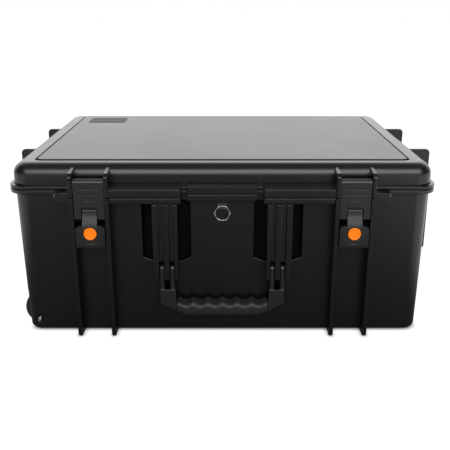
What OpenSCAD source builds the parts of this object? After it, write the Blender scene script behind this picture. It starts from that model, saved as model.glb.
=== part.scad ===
/* [Case body] */
// Width of the walls at the parting plane, left to right
case_w = 620; // [600:1:640]
// Depth of the walls at the parting plane, front to back
case_d = 446; // [440:1:452]
// Height of the closed case without its panel
case_h = 267; // [264:1:272]
// Height of the parting plane between base and lid
part_z = 230; // [229:0.5:231]
// Thickness of the moulded walls
wall = 4; // [3:0.5:5]
// Corner radius of the walls in plan
corner_r = 24; // [20:1:28]
// How much the base's front and back walls lean in from top to bottom
draft = 3; // [1:0.5:4]
// How far the tops of the base's end walls stand in under the flange
end_in = 1.5; // [0:0.5:2]
// How much the base's end walls lean in from top to bottom
end_draft = 4.1; // [3:0.1:5]
// Radius of the lid's top edge
lid_edge_r = 18; // [12:1:20]
// Radius of the base's bottom edge
base_edge_r = 8; // [6:1:12]
// Gap between the base rim and the lid rim
rim_gap = 0.5; // [0.3:0.1:0.8]

/* [Flange] */
// How far the flange stands out at the ends and the back
flange_out = 6.5; // [5:0.5:8]
// Thickness of the base flange
base_flange_h = 6.6; // [5:0.2:8]
// Thickness of the lid flange
lid_flange_h = 5; // [4:0.5:6]
// How far the long flange blocks stand out at the front
block_out = 22; // [20:0.5:24]
// Height where the front blocks part into lid lip and base block
block_split_z = 222; // [221:0.5:224]

/* [Lid panel] */
// Width of the panel let into the lid
panel_w = 553; // [540:1:560]
// Depth of the panel let into the lid
panel_d = 388; // [370:1:392]
// Corner radius of the panel
panel_r = 8; // [5:1:12]
// Width of the groove round the panel
panel_gap = 4.2; // [3:0.2:4.8]
// How far the panel stands above the lid
panel_rise = 1.2; // [0.4:0.2:2]

/* [Latches] */
// Distance from the centre to the middle of each latch
latch_x = 192.8; // [190:0.2:195]
// Clear width between the ribs beside a latch
bay_w = 45.6; // [45:0.2:48]
// Thickness of each long rib
rib_t = 6; // [4:0.5:6]
// Width of the latch strap
strap_w = 44.6; // [43:0.2:45]
// Diameter of the release button
button_d = 19; // [17:0.5:20]
// How far the release button presses in
button_travel = 2.5; // [1.5:0.5:3]

/* [Handles] */
// Distance from the centre to the middle of each handle pillar
pillar_x = 82.4; // [81:0.2:84]
// Height of the handle pivots
handle_z = 111; // [109:0.5:113]
// Width of the handle over its yokes
handle_w = 187; // [186:0.5:189]
// Clear width inside the handle
handle_open = 140; // [138:0.5:142]
// Diameter of the handle pins
handle_pin_d = 6; // [5:0.5:7]

/* [Wheels] */
// Diameter of the wheels
wheel_d = 56; // [52:1:57]
// Width of the wheels
wheel_w = 24; // [20:1:25]
// Distance from the centre to the wheel axles
wheel_x = 285; // [283:1:287]
// Distance from the centre to the middle of each wheel
wheel_y = 190; // [186:1:191]

/* [Trolley handle] */
// Distance from the centre line to each tube
tube_y = 70; // [65:1:75]
// Length of the outer tubes
tube_len = 462; // [440:1:464]

/* [Laptop bays] */
// Number of laptop bays
bay_count = 10; // [8:1:10]
// Distance between neighbouring bays
bay_pitch = 52; // [50:1:53]
// Thickness of each divider
divider_t = 14; // [10:1:18]

/* [Hidden] */
black = [0.07, 0.07, 0.075];
satin = [0.17, 0.17, 0.18];
orange = [0.95, 0.42, 0.05];
steel = [0.62, 0.63, 0.65];
foam = [0.13, 0.13, 0.14];
soft = [0.06, 0.06, 0.06];
plate_t = 0.2;
half_w = case_w / 2;
half_d = case_d / 2;
base_top = part_z - rim_gap;
front_y = -half_d - block_out;
// Ribs, ears and pillars share one front line, a little proud of the blocks
rib_y = front_y - 2.3;
rib_foot_y = rib_y + 4.5;
bay_in = latch_x - bay_w / 2;
bay_out = latch_x + bay_w / 2;
eye_x1 = bay_out + rib_t + 21.9;
block_low_z = 212.8;
eye_x = 236.6;
eye_y = -half_d - 15;
eye_r = 5;
eye_skirt = 7;
eye_skirt_t = 2.6;
// Seal in a groove of the lid's rim
seal_out = 3;
seal_in = 2;
seal_groove = 3;
// Hinge at the back
hinge_y = half_d + 19;
hinge_z = part_z;
knuckle_r = 6;
hinge_pin_r = 2.5;
hinge_w = 56;
knuckle_w = 13.5;
// Latch
strap_pin_y = rib_y + 7.5;
strap_pin_z = 244;
strap_pin_r = 2;
strap_t = 5;
strap_low_z = 190;
tongue_w = 22;
slot_w = 24;
slot_top_z = 206;
groove_zs = [234.4, 226.4];
groove_half = 17;
lever_pin_z = 197;
lever_pin_r = 1.5;
lever_pin_y = strap_pin_y + 0.5;
plate_w = 42.5;
plate_top_z = 184;
plate_low_z = 145;
plate_front_y = rib_y - 2;
plate_back_y = plate_front_y + 11;
button_z = 169;
band_h = 0.5;
run_gap = 0.05;
// Handles
pivot_y = rib_y + 9;
slot_gap = 7.2;
mid_rib = 8.2;
inner_rib = 5.6;
outer_rib = 8.6;
prong_t = 6;
handle_pin_r = handle_pin_d / 2;
pillar_low_z = 95.6;
web_low_z = 122.7;
pocket_depth = 16;
pocket_low_z = 116;
block_x = 60.6;
mid_block_x = 51;
mid_block_in = 8.4;
end_shift = 340 + rib_y;
grip_low_z = 38;
grip_top_z = 59;
grip_round = 5;
yoke_top_z = 79;
grip_front_y = pivot_y - 11.5;
grip_back_y = pivot_y + 12.5;
yoke_front_y = pivot_y - 7;
yoke_back_y = pivot_y + 7;
core_low_z = 43;
core_top_z = 54;
// Valve
valve_z = 194;
valve_af = 22.3;
valve_r = 7;
valve_cap_r = 10.2;
// Wheels
wheel_z = wheel_d / 2 + 0.6;
well_x = 254;
well_w = 36;
well_top_z = 62;
axle_r = 4;
// Trolley handle
tunnel_half = 92;
tunnel_x = 186;
tunnel_z = 28;
tube_z = 15;
outer_tube = [24, 18];
inner_tube = [20.6, 14.6];
tube_wall = 1.4;
tube_x0 = -180;
bar_x0 = 286;
bar_x1 = 304;
screw_r = 2;
screw_z = 19.1;
screw_x = -285.7;
screw_head_r = 3;
screw_recess_r = 5.2;
lip_t = 11;
panel_sink = 2.5;
gasket_t = 0.8;
lid_foam_z = 246;
pad_top_z = 38;
rail_top_z = 190;
bay_mid_x = 25;
foam_x1 = 294;
eye_root_y = -half_d - flange_out;
rim_low_z = base_top - base_flange_h;
// The lid's ears hang down in front of the base's rim
ear_back_y = eye_root_y - 1;
ear_top_z = 258.6;
ear_cap_z = 250.4;
ledge_low_z = 199;
strap_barrel_r = 5.5;
strap_front_y = strap_pin_y - strap_barrel_r;
tongue_front_y = strap_front_y + 0.6;
prong_xs = [pillar_x - (mid_rib + slot_gap) / 2, pillar_x + (mid_rib + slot_gap) / 2];
grip_half = 68;
scallop_pitch = 22;
pin_x0 = 67;
pin_x1 = 99;
carrier_t = 3;
carrier_x0 = -half_w + 9;
hub_w = 28;
hub_r = 20;
bar_half = 88;
cover_top_z = 4;

module rounded(w, d, r) {
    square([w - 2 * r, d], center = true);
    square([w, d - 2 * r], center = true);
    for (sx = [-1, 1], sy = [-1, 1])
        translate([sx * (w / 2 - r), sy * (d / 2 - r)]) circle(r, $fn = 48);
}

// Plate of the wall outline, drawn in by a given amount on every side and by a further one at the ends
module wall_plate(inset, z, end_inset = 0) {
    translate([0, 0, z]) linear_extrude(plate_t)
        rounded(case_w - 2 * (inset + end_inset), case_d - 2 * inset, max(corner_r - inset, 3));
}

// Tub with leaning walls and a round bottom edge, solid inside
module tub(inset, low, high, edge) {
    steps = 5;
    hull() {
        wall_plate(inset, high - plate_t, end_in);
        for (i = [0:steps]) {
            a = 90 * i / steps;
            wall_plate(inset + draft + edge * (1 - sin(a)), low + edge * (1 - cos(a)),
                end_in + end_draft - draft);
        }
    }
}

// Lid block with a round top edge, solid inside
module lid_block(inset, low, high, edge) {
    steps = 7;
    hull() {
        wall_plate(inset, low);
        for (i = [0:steps]) {
            a = 90 * i / steps;
            wall_plate(inset + edge * (1 - cos(a)), high - plate_t - edge * (1 - sin(a)));
        }
    }
}

// Prism along X between two places, outlined in Y and Z
module prism_x(x0, x1, outline) {
    translate([x0, 0, 0]) rotate([90, 0, 90]) linear_extrude(x1 - x0) polygon(outline);
}

// Prism along Y between two places, outlined in X and Z
module prism_y(y0, y1, outline) {
    translate([0, y1, 0]) rotate([90, 0, 0]) linear_extrude(y1 - y0) polygon(outline);
}

module box(low, high) translate(low) cube(high - low);

module rod_x(x0, x1, y, z, r)
    translate([x0, y, z]) rotate([0, 90, 0]) cylinder(r = r, h = x1 - x0, $fn = 48);

module rod_y(y0, y1, x, z, r)
    translate([x, y1, z]) rotate([90, 0, 0]) cylinder(r = r, h = y1 - y0, $fn = 48);

module both_sides() {
    children();
    mirror([1, 0, 0]) children();
}

module to_end() translate([end_shift, 0, 0]) rotate([0, 0, 90]) children();

module flange_ring(low, high) {
    translate([0, 0, low]) linear_extrude(high - low) difference() {
        rounded(case_w + 2 * flange_out, case_d + 2 * flange_out, corner_r + flange_out);
        rounded(case_w - 2 * wall, case_d - 2 * wall, corner_r - wall);
    }
}

// Three ribs and the web of one handle pillar, at the right of the front
module pillar(back_y) {
    x0 = pillar_x - mid_rib / 2 - slot_gap - inner_rib;
    x1 = pillar_x + mid_rib / 2 + slot_gap + outer_rib;
    ribs = [[x0, x0 + inner_rib], [pillar_x - mid_rib / 2, pillar_x + mid_rib / 2], [x1 - outer_rib, x1]];
    difference() {
        union() {
            for (rib = ribs)
                box([rib[0], rib_y, pillar_low_z], [rib[1], back_y, block_low_z]);
            box([x0, rib_y + 4.5, web_low_z], [x1, back_y, block_low_z]);
        }
        rod_x(pin_x0, pin_x1, pivot_y, handle_z, handle_pin_r);
    }
}

module pocket_outline(grow, y0, y1) {
    prism_y(y0, y1, [[47.6 - grow, block_low_z + grow], [119.5 + grow, block_low_z + grow],
        [119.5 + grow, 123 - grow], [101.5, pocket_low_z - grow], [64.5, pocket_low_z - grow],
        [47.6 - grow, 123 - grow]]);
}

module long_rib(x0) {
    prism_x(x0, x0 + rib_t, [[rib_y, block_low_z - 3], [rib_foot_y, 3], [rib_foot_y + 3, 0],
        [-half_d + draft + base_edge_r + 2, 0], [-half_d + draft + 3, base_edge_r + 4],
        [-half_d + 2, rim_low_z], [eye_root_y, rim_low_z], [eye_root_y, block_split_z - rim_gap],
        [rib_y, block_split_z - rim_gap]]);
}

module rear_rib(x0) mirror([0, 1, 0])
    prism_x(x0, x0 + rib_t, [[-hinge_y + 6, block_low_z - 3], [-hinge_y + 10, 3], [-hinge_y + 13, 0],
        [-half_d + draft + base_edge_r + 2, 0], [-half_d + draft + 3, base_edge_r + 4],
        [-half_d + 2, rim_low_z], [-half_d - 7, rim_low_z]]);

module wheel_well(grow) {
    for (sy = [-1, 1]) translate([0, sy * wheel_y, 0])
        box([-half_w - 5 + grow, -well_w / 2 - grow, -1],
            [-well_x + grow, well_w / 2 + grow, well_top_z + grow]);
}

module trolley_tunnel(grow) {
    box([-tunnel_x - grow, -tunnel_half - grow, -1],
        [half_w + 5 - grow * 2, tunnel_half + grow, tunnel_z + grow]);
}

// Walls and liners, before the openings are cut
module base_body() {
    difference() {
        tub(0, 0, base_top, base_edge_r);
        tub(wall, wall, base_top + 1, base_edge_r - wall);
    }
    both_sides() {
        box([latch_x - 12, -half_d - 9, ledge_low_z], [latch_x + 12, -half_d + 2, slot_top_z]);
        intersection() {
            tub(0, 0, base_top, base_edge_r);
            pocket_outline(wall, -half_d - 5, -half_d + pocket_depth + wall);
        }
    }
    intersection() {
        tub(0, 0, base_top, base_edge_r);
        union() {
            wheel_well(wall);
            trolley_tunnel(wall);
            for (sy = [-1, 1]) rod_y(sy * 209 - 13, sy * 209 + 13, screw_x, screw_z, 7);
        }
    }
}

module base_shell() color(black) difference() {
    base_body();
    both_sides() pocket_outline(0, -half_d - 21, -half_d + pocket_depth);
    wheel_well(0);
    trolley_tunnel(0);
    rod_y(-half_d - 5, -half_d + 10, 0, valve_z, valve_r);
    for (sy = [-1, 1]) {
        rod_y(sy * 209 - 16, sy * 209 + 16, screw_x, screw_z, screw_r);
        rod_y(sy * (half_d - 1) - 4, sy * (half_d - 1) + 4, screw_x, screw_z, screw_recess_r);
    }
}

// Rim round the base, with the front blocks and the hinge knuckles
module base_rim() color(black) difference() {
    union() {
        flange_ring(rim_low_z, base_top);
        both_sides() {
            box([block_x, front_y, block_low_z], [bay_in - rib_t, -half_d + 1, block_split_z - rim_gap]);
            box([block_x, eye_root_y, block_low_z], [bay_in - rib_t, -half_d + 1, rim_low_z + 1]);
            for (x = [latch_x - hinge_w / 2, latch_x + hinge_w / 2 - knuckle_w]) {
                box([x, half_d - 1, rim_low_z], [x + knuckle_w, hinge_y, base_top]);
                rod_x(x, x + knuckle_w, hinge_y, hinge_z, knuckle_r);
            }
        }
        box([-mid_block_x, front_y + mid_block_in, 215], [mid_block_x, -half_d + 1, 225]);
    }
    tub(0, 0, base_top, base_edge_r);
    both_sides() rod_x(latch_x - hinge_w / 2 - 1, latch_x + hinge_w / 2 + 1, hinge_y, hinge_z, hinge_pin_r);
}

module base_ribs() color(black) difference() {
    both_sides() {
        long_rib(bay_in - rib_t);
        long_rib(bay_out);
        rear_rib(bay_in - rib_t);
        rear_rib(bay_out);
    }
    tub(0, 0, base_top, base_edge_r);
}

// Handle pillars at the front: the part before the wall, and the part that fills the pocket behind it
module front_pillars() color(black) both_sides() {
    difference() {
        pillar(-half_d + 3);
        tub(0, 0, base_top, base_edge_r);
    }
    intersection() {
        pillar(-half_d + pocket_depth);
        box([60, rib_y - 1, pocket_low_z], [110, 0, block_low_z]);
    }
}

module end_pillars() color(black) difference() {
    to_end() both_sides() difference() {
        pillar(rib_y + 42);
        prism_x(60, 110, [[rib_y - 1, block_low_z + 2], [rib_y - 1, block_low_z - 12],
            [rib_y + 22, block_low_z + 2]]);
    }
    tub(0, 0, base_top, base_edge_r);
}

// Ear of the lid beside a latch, in line with the rib below it
module lid_ear(x0) {
    prism_x(x0, x0 + rib_t, [[rib_y, block_split_z], [rib_y, ear_cap_z - 1.4], [rib_y - 0.9, ear_cap_z - 0.4],
        [rib_y - 0.9, ear_cap_z + 2.4], [rib_y + 0.6, ear_cap_z + 4.7], [rib_y + 3.2, ear_cap_z + 5.5],
        [rib_y + 3.2, ear_top_z - 1.6], [rib_y + 1.4, ear_top_z],
        [-half_d + 5, ear_top_z + 2.8], [-half_d + 5, part_z], [ear_back_y, part_z],
        [ear_back_y, block_split_z]]);
}

module end_tab(out) {
    for (sy = [-1, 1])
        prism_y(sy * 90 - 3, sy * 90 + 3, [[half_w - 6, part_z + 1], [half_w + out - 2, part_z + 1],
            [half_w + out, part_z + 3], [half_w + out, 256], [half_w + out - 1.8, 260],
            [half_w + out - 6, 261.6], [half_w - 6, 261.6]]);
}

module lid_shell() color(black) difference() {
    lid_block(0, part_z, case_h, lid_edge_r);
    lid_block(wall, part_z - 1, case_h - wall, lid_edge_r - wall);
    seal_ring(part_z - 1, part_z + seal_groove);
    translate([0, 0, case_h - panel_sink]) linear_extrude(5)
        rounded(panel_w + 2 * panel_gap, panel_d + 2 * panel_gap, panel_r + panel_gap);
}

// Rim round the lid, with the lips, the latch ears, the end tabs and the hinge knuckles
module lid_rim() color(black) difference() {
    union() {
        flange_ring(part_z, part_z + lid_flange_h);
        both_sides() {
            // Lip that hangs over the base flange, and its rounded top
            prism_x(block_x, bay_in - rib_t, [[front_y, block_split_z], [front_y + lip_t, block_split_z],
                [front_y + lip_t, part_z], [-half_d + 1, part_z], [-half_d + 1, 240.3], [-half_d - 1, 240.3],
                [-half_d - 1.4, 239.3], [-half_d - 1.6, 238.9], [front_y + 0.7, 234.6],
                [front_y + 0.3, 233.6], [front_y, 232.8]]);
            lid_ear(bay_in - rib_t);
            lid_ear(bay_out);
            box([latch_x - hinge_w / 2 + knuckle_w + 0.5, half_d - 1, part_z + 0.4],
                [latch_x + hinge_w / 2 - knuckle_w - 0.5, hinge_y, part_z + 5]);
            rod_x(latch_x - hinge_w / 2 + knuckle_w + 0.5, latch_x + hinge_w / 2 - knuckle_w - 0.5,
                hinge_y, hinge_z, knuckle_r);
        }
        prism_x(-mid_block_x, mid_block_x, [[front_y + mid_block_in, 225.5], [front_y + 13, 225.5],
            [front_y + 13, part_z], [-half_d + 1, part_z], [-half_d + 1, 240.3], [-half_d - 1, 240.3],
            [-half_d - 1.4, 239.3], [-half_d - 1.6, 239], [front_y + mid_block_in + 0.7, 238],
            [front_y + mid_block_in + 0.3, 237], [front_y + mid_block_in, 236]]);
        end_tab(28.5);
        mirror([1, 0, 0]) end_tab(18.3);
    }
    lid_block(0, part_z, case_h, lid_edge_r);
    seal_ring(part_z - 1, part_z + seal_groove);
    both_sides() {
        rod_x(bay_in - rib_t - 1, bay_out + rib_t + 1, strap_pin_y, strap_pin_z, strap_pin_r);
        rod_x(latch_x - hinge_w / 2, latch_x + hinge_w / 2, hinge_y, hinge_z, hinge_pin_r + run_gap);
    }
}

module lid_panel() color(satin)
    translate([0, 0, case_h - panel_sink]) linear_extrude(panel_sink + panel_rise)
        rounded(panel_w, panel_d, panel_r);

// Soft strip that lies in the groove round the panel
module panel_gasket() color(soft)
    translate([0, 0, case_h - panel_sink]) linear_extrude(gasket_t) difference() {
        rounded(panel_w + 2 * panel_gap - 0.1, panel_d + 2 * panel_gap - 0.1, panel_r + panel_gap - 0.05);
        rounded(panel_w + 0.1, panel_d + 0.1, panel_r + 0.05);
    }

// Ring over the middle of the base's rim
module seal_ring(low, high) translate([0, 0, low]) linear_extrude(high - low) difference() {
    rounded(case_w + 2 * seal_out, case_d + 2 * seal_out, corner_r + seal_out);
    rounded(case_w - 2 * seal_in, case_d - 2 * seal_in, corner_r - seal_in);
}

module lid_seal() color(soft) seal_ring(base_top, part_z + seal_groove);

module lid_foam() color(foam)
    translate([0, 0, lid_foam_z]) linear_extrude(case_h - wall - lid_foam_z) rounded(572, 398, 14);

module floor_foam() color(foam) difference() {
    box([-245, -180, wall], [foam_x1, 180, pad_top_z]);
    box([-tunnel_x - wall, -tunnel_half - wall, 0], [310, tunnel_half + wall, tunnel_z + wall]);
}

module front_foam_rail() color(foam) box([-246, -199, wall], [foam_x1, -181, rail_top_z]);
module rear_foam_rail() color(foam) box([-246, 181, wall], [foam_x1, 206, rail_top_z]);

module laptop_dividers() color(foam)
    for (i = [0:bay_count]) {
        x = bay_mid_x + (i - bay_count / 2) * bay_pitch;
        box([x - divider_t / 2, -180.5, pad_top_z], [x + divider_t / 2, 180.5, rail_top_z]);
    }

module hinge_pins() color(steel) both_sides()
    rod_x(latch_x - hinge_w / 2, latch_x + hinge_w / 2, hinge_y, hinge_z, hinge_pin_r);

// Valve: threaded stem through the wall, hex head outside, nut inside
module valve_body() color(steel) difference() {
    union() {
        translate([0, -half_d - 0.5, valve_z]) rotate([90, 0, 0])
            cylinder(d = valve_af / cos(30), h = 5, $fn = 6);
        rod_y(-half_d - 1, -half_d + 14, 0, valve_z, valve_r);
    }
    rod_y(-half_d - 9, -half_d - 3, 0, valve_z, valve_cap_r);
    rod_y(-half_d - 9, -half_d + 15, 0, valve_z, 2.5);
}

module valve_cap() color(black) difference() {
    rod_y(-half_d - 6, -half_d - 3, 0, valve_z, valve_cap_r);
    rod_y(-half_d - 4.6, -half_d - 2, 0, valve_z, 2.5);
}

module valve_washer() color(soft) difference() {
    rod_y(-half_d + wall + 1.5, -half_d + wall + 3, 0, valve_z, 10);
    rod_y(-half_d, -half_d + 10, 0, valve_z, valve_r);
}

module valve_nut() color(black) difference() {
    translate([0, -half_d + wall + 8, valve_z]) rotate([90, 0, 0]) cylinder(d = 20, h = 5, $fn = 6);
    rod_y(-half_d, -half_d + 14, 0, valve_z, valve_r);
}

// Eye tab beside a latch with a skirt at its front, drilled for a padlock
module padlock_eye(low, high) difference() {
    x0 = bay_out + rib_t;
    y0 = rib_y + 0.3;
    union() {
        translate([0, 0, low]) linear_extrude(high - low)
            polygon([[x0, eye_root_y], [x0, y0], [eye_x1 - 3, y0], [eye_x1, y0 + 3], [eye_x1, eye_root_y]]);
        box([x0, y0, low - eye_skirt], [eye_x1 - 3, y0 + eye_skirt_t, low + 1]);
    }
    translate([eye_x, eye_y, low - 1]) cylinder(r = eye_r, h = high - low + 2, $fn = 48);
}

module base_padlock_eyes() color(black) both_sides() padlock_eye(rim_low_z, base_top);

// Strap: barrel on the lid's pin, plate with two legs down both sides of the lever's tongue
module latch_strap() color(black) difference() {
    union() {
        rod_x(latch_x - strap_w / 2, latch_x + strap_w / 2, strap_pin_y, strap_pin_z, strap_barrel_r);
        box([latch_x - strap_w / 2, strap_front_y, strap_low_z],
            [latch_x + strap_w / 2, strap_front_y + strap_t, strap_pin_z]);
        // Low raised plate above the slot
        translate([latch_x, 0, 0]) prism_y(strap_front_y - 0.9, strap_front_y + 1,
            [[-11.5, slot_top_z + 1.5], [11.5, slot_top_z + 1.5], [11.5, slot_top_z + 4],
            [8, slot_top_z + 11], [-8, slot_top_z + 11], [-11.5, slot_top_z + 4]]);
        for (x = [latch_x - strap_w / 2, latch_x + slot_w / 2])
            rod_x(x, x + (strap_w - slot_w) / 2, lever_pin_y, lever_pin_z, 4.5);
    }
    box([latch_x - slot_w / 2, strap_front_y - 5, strap_low_z - 1],
        [latch_x + slot_w / 2, strap_front_y + 15, slot_top_z]);
    for (z = groove_zs)
        box([latch_x - groove_half, strap_front_y - 1, z],
            [latch_x + groove_half, strap_front_y + 1, z + 1.6]);
    rod_x(latch_x - 30, latch_x + 30, strap_pin_y, strap_pin_z, strap_pin_r + run_gap);
    rod_x(latch_x - 30, latch_x + 30, lever_pin_y, lever_pin_z, lever_pin_r);
}

module strap_pin() color(steel)
    rod_x(bay_in - rib_t + 0.2, bay_out + rib_t - 0.2, strap_pin_y, strap_pin_z, strap_pin_r);

module lever_pin() color(steel)
    rod_x(latch_x - strap_w / 2 + 0.5, latch_x + strap_w / 2 - 0.5, lever_pin_y, lever_pin_z, lever_pin_r);

// Lever: tongue on the pin, sloping step, shield-shaped plate with a nose behind it
module latch_lever() color(black) difference() {
    union() {
        prism_x(latch_x - tongue_w / 2, latch_x + tongue_w / 2, [[tongue_front_y + 1.5, slot_top_z - 1],
            [tongue_front_y, slot_top_z - 3], [tongue_front_y, 194], [plate_front_y, plate_top_z + 1],
            [plate_front_y, button_z], [plate_back_y, button_z], [plate_back_y, plate_top_z - 8],
            [tongue_front_y + 9, plate_top_z + 4], [tongue_front_y + 9, slot_top_z - 4],
            [tongue_front_y + 6, slot_top_z - 1]]);
        intersection() {
            translate([latch_x, 0, 0]) prism_y(plate_front_y, plate_back_y, [
                [-plate_w / 2, plate_low_z + 1.5], [-plate_w / 2 + 5, plate_low_z + 0.5], [0, plate_low_z],
                [plate_w / 2 - 5, plate_low_z + 0.5],
                [plate_w / 2, plate_low_z + 1.5], [plate_w / 2, plate_top_z - 7.5],
                [plate_w / 2 - 3.5, plate_top_z - 4.7], [tongue_w / 2, plate_top_z - 3],
                [-tongue_w / 2, plate_top_z - 3], [-plate_w / 2 + 3.5, plate_top_z - 4.7],
                [-plate_w / 2, plate_top_z - 7.5]]);
            prism_x(latch_x - 30, latch_x + 30, [[plate_front_y + band_h, plate_top_z + 1],
                [plate_front_y + band_h, plate_low_z + 6], [plate_front_y + 3, plate_low_z],
                [plate_front_y + 6, plate_low_z], [plate_back_y, plate_low_z + 9],
                [plate_back_y, plate_top_z + 1]]);
        }
    }
    rod_x(latch_x - 30, latch_x + 30, lever_pin_y, lever_pin_z, lever_pin_r + run_gap);
    rod_y(plate_front_y - 1, plate_front_y + 8, latch_x, button_z, button_d / 2 + 0.7);
    box([latch_x - 6, plate_front_y - 1, plate_low_z + 7.6],
        [latch_x + 6, plate_front_y + band_h + 0.5, plate_low_z + 8.6]);
}

module latch_button() color(orange)
    rod_y(plate_front_y - 1, plate_front_y + 8 - button_travel - 0.4, latch_x, button_z, button_d / 2);

// Small return spring between the button and the lever
module button_spring() color(steel) difference() {
    rod_y(plate_front_y + 8 - button_travel - 0.4, plate_front_y + 8, latch_x, button_z, 4);
    rod_y(plate_front_y, plate_front_y + 9, latch_x, button_z, 3);
}

// Handle: fork ends on the pins, yokes, and a bar through the grip
module handle_frame() color(black) difference() {
    union() {
        both_sides() {
            for (x = prong_xs) {
                rod_x(x - prong_t / 2, x + prong_t / 2, pivot_y, handle_z, 6);
                box([x - prong_t / 2, pivot_y - 6, yoke_top_z - 3], [x + prong_t / 2, pivot_y + 6, handle_z]);
            }
            prism_y(yoke_front_y, yoke_back_y, [[handle_open / 2, yoke_top_z], [handle_w / 2, yoke_top_z],
                [handle_w / 2, 56], [handle_w / 2 - 4, 54], [handle_w / 2 - 9, 52], [grip_half, 43],
                [grip_half, grip_top_z - 1], [handle_open / 2, grip_top_z + 5]]);
        }
        box([-grip_half - 1, pivot_y - 4, core_low_z], [grip_half + 1, pivot_y + 4, core_top_z]);
    }
    both_sides() rod_x(60, 110, pivot_y, handle_z, handle_pin_r + run_gap);
}

// Soft grip over the bar, with scallops along its top and slanted edges
module handle_grip() color(soft) difference() {
    intersection() {
        prism_y(grip_front_y, grip_back_y, concat([[-53, grip_low_z], [53, grip_low_z], [grip_half, 43]],
            [for (i = [0:32]) let (x = grip_half - i * grip_half / 16)
                [x, grip_top_z + 2 * cos(360 * x / scallop_pitch)]], [[-grip_half, 43]]));
        prism_x(-grip_half - 1, grip_half + 1, [[grip_front_y + 3, grip_low_z],
            [grip_back_y - 3, grip_low_z], [grip_back_y, grip_low_z + 3],
            [grip_back_y, grip_top_z + 1], [grip_back_y - 2, grip_top_z + 3],
            [grip_front_y + grip_round + 3, grip_top_z + 3], [grip_front_y, grip_top_z - grip_round],
            [grip_front_y, grip_low_z + 3]]);
    }
    box([-grip_half - 1, pivot_y - 4, core_low_z], [grip_half + 1, pivot_y + 4, core_top_z]);
}

module handle_pins() color(steel) both_sides()
    rod_x(pin_x0, pin_x1, pivot_y, handle_z, handle_pin_r);

module front_handle_frame() handle_frame();
module front_handle_grip() handle_grip();
module front_handle_pins() handle_pins();
module end_handle_frame() to_end() handle_frame();
module end_handle_grip() to_end() handle_grip();
module end_handle_pins() to_end() handle_pins();

module left_latch_strap() mirror([1, 0, 0]) latch_strap();
module right_latch_strap() latch_strap();
module left_strap_pin() mirror([1, 0, 0]) strap_pin();
module right_strap_pin() strap_pin();
module left_latch_lever() mirror([1, 0, 0]) latch_lever();
module right_latch_lever() latch_lever();
module left_lever_pin() mirror([1, 0, 0]) lever_pin();
module right_lever_pin() lever_pin();
module left_latch_button() mirror([1, 0, 0]) latch_button();
module right_latch_button() latch_button();
module left_button_spring() mirror([1, 0, 0]) button_spring();
module right_button_spring() button_spring();

// Wheel set, drawn for the front corner and mirrored to the rear one
module wheel_carrier() color(black) difference() {
    union() {
        for (y = [-well_w / 2 + 0.2, well_w / 2 - carrier_t - 0.2])
            box([carrier_x0, -wheel_y + y, 6], [-well_x - 0.5, -wheel_y + y + carrier_t, well_top_z - 0.3]);
        box([carrier_x0, -wheel_y - well_w / 2 + 0.2, well_top_z - 3.3],
            [-well_x - 0.5, -wheel_y + well_w / 2 - 0.2, well_top_z - 0.3]);
    }
    rod_y(-wheel_y - 30, -wheel_y + 30, -wheel_x, wheel_z, axle_r);
    rod_y(-wheel_y - 30, -wheel_y, screw_x, screw_z, screw_r);
}

module wheel_axle() color(steel) difference() {
    rod_y(-wheel_y - well_w / 2 + 0.2, -wheel_y + well_w / 2 - 0.2, -wheel_x, wheel_z, axle_r);
    translate([-wheel_x, -wheel_y - well_w / 2 + 1.2, wheel_z]) rotate([90, 0, 0])
        cylinder(d = 4, h = 2, $fn = 6);
}

module wheel_hub() color(black) difference() {
    union() {
        rod_y(-wheel_y - hub_w / 2, -wheel_y + hub_w / 2, -wheel_x, wheel_z, 9);
        rod_y(-wheel_y - 4, -wheel_y + 4, -wheel_x, wheel_z, 18);
        difference() {
            rod_y(-wheel_y - wheel_w / 2 + 1, -wheel_y + wheel_w / 2 - 1, -wheel_x, wheel_z, hub_r);
            rod_y(-wheel_y - wheel_w / 2, -wheel_y + wheel_w / 2, -wheel_x, wheel_z, hub_r - 3.5);
        }
    }
    rod_y(-wheel_y - 30, -wheel_y + 30, -wheel_x, wheel_z, axle_r + run_gap);
}

module wheel_tyre() color(soft) translate([-wheel_x, -wheel_y, wheel_z]) rotate([90, 0, 0])
    rotate_extrude($fn = 96) polygon([[hub_r, -wheel_w / 2 + 1], [wheel_d / 2 - 3, -wheel_w / 2],
        [wheel_d / 2 - 0.8, -wheel_w / 2 + 3], [wheel_d / 2, 0], [wheel_d / 2 - 0.8, wheel_w / 2 - 3],
        [wheel_d / 2 - 3, wheel_w / 2], [hub_r, wheel_w / 2 - 1]]);

module front_wheel_carrier() wheel_carrier();
module rear_wheel_carrier() mirror([0, 1, 0]) wheel_carrier();
module front_wheel_axle() wheel_axle();
module rear_wheel_axle() mirror([0, 1, 0]) wheel_axle();
module front_wheel_hub() wheel_hub();
module rear_wheel_hub() mirror([0, 1, 0]) wheel_hub();
module front_wheel_tyre() wheel_tyre();
module rear_wheel_tyre() mirror([0, 1, 0]) wheel_tyre();

module wheel_carrier_screws() color(steel) for (sy = [0, 1]) mirror([0, sy, 0]) {
    rod_y(-half_d + 2, -wheel_y - well_w / 2 + 3, screw_x, screw_z, screw_r);
    rod_y(-half_d + 2, -half_d + 5, screw_x, screw_z, screw_head_r);
}

module tube_box(x0, x1, outer, thick) for (sy = [-1, 1]) difference() {
    box([x0, sy * tube_y - outer[0] / 2, tube_z - outer[1] / 2],
        [x1, sy * tube_y + outer[0] / 2, tube_z + outer[1] / 2]);
    box([x0 - 1, sy * tube_y - outer[0] / 2 + thick, tube_z - outer[1] / 2 + thick],
        [x1 + 1, sy * tube_y + outer[0] / 2 - thick, tube_z + outer[1] / 2 - thick]);
}

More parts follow.
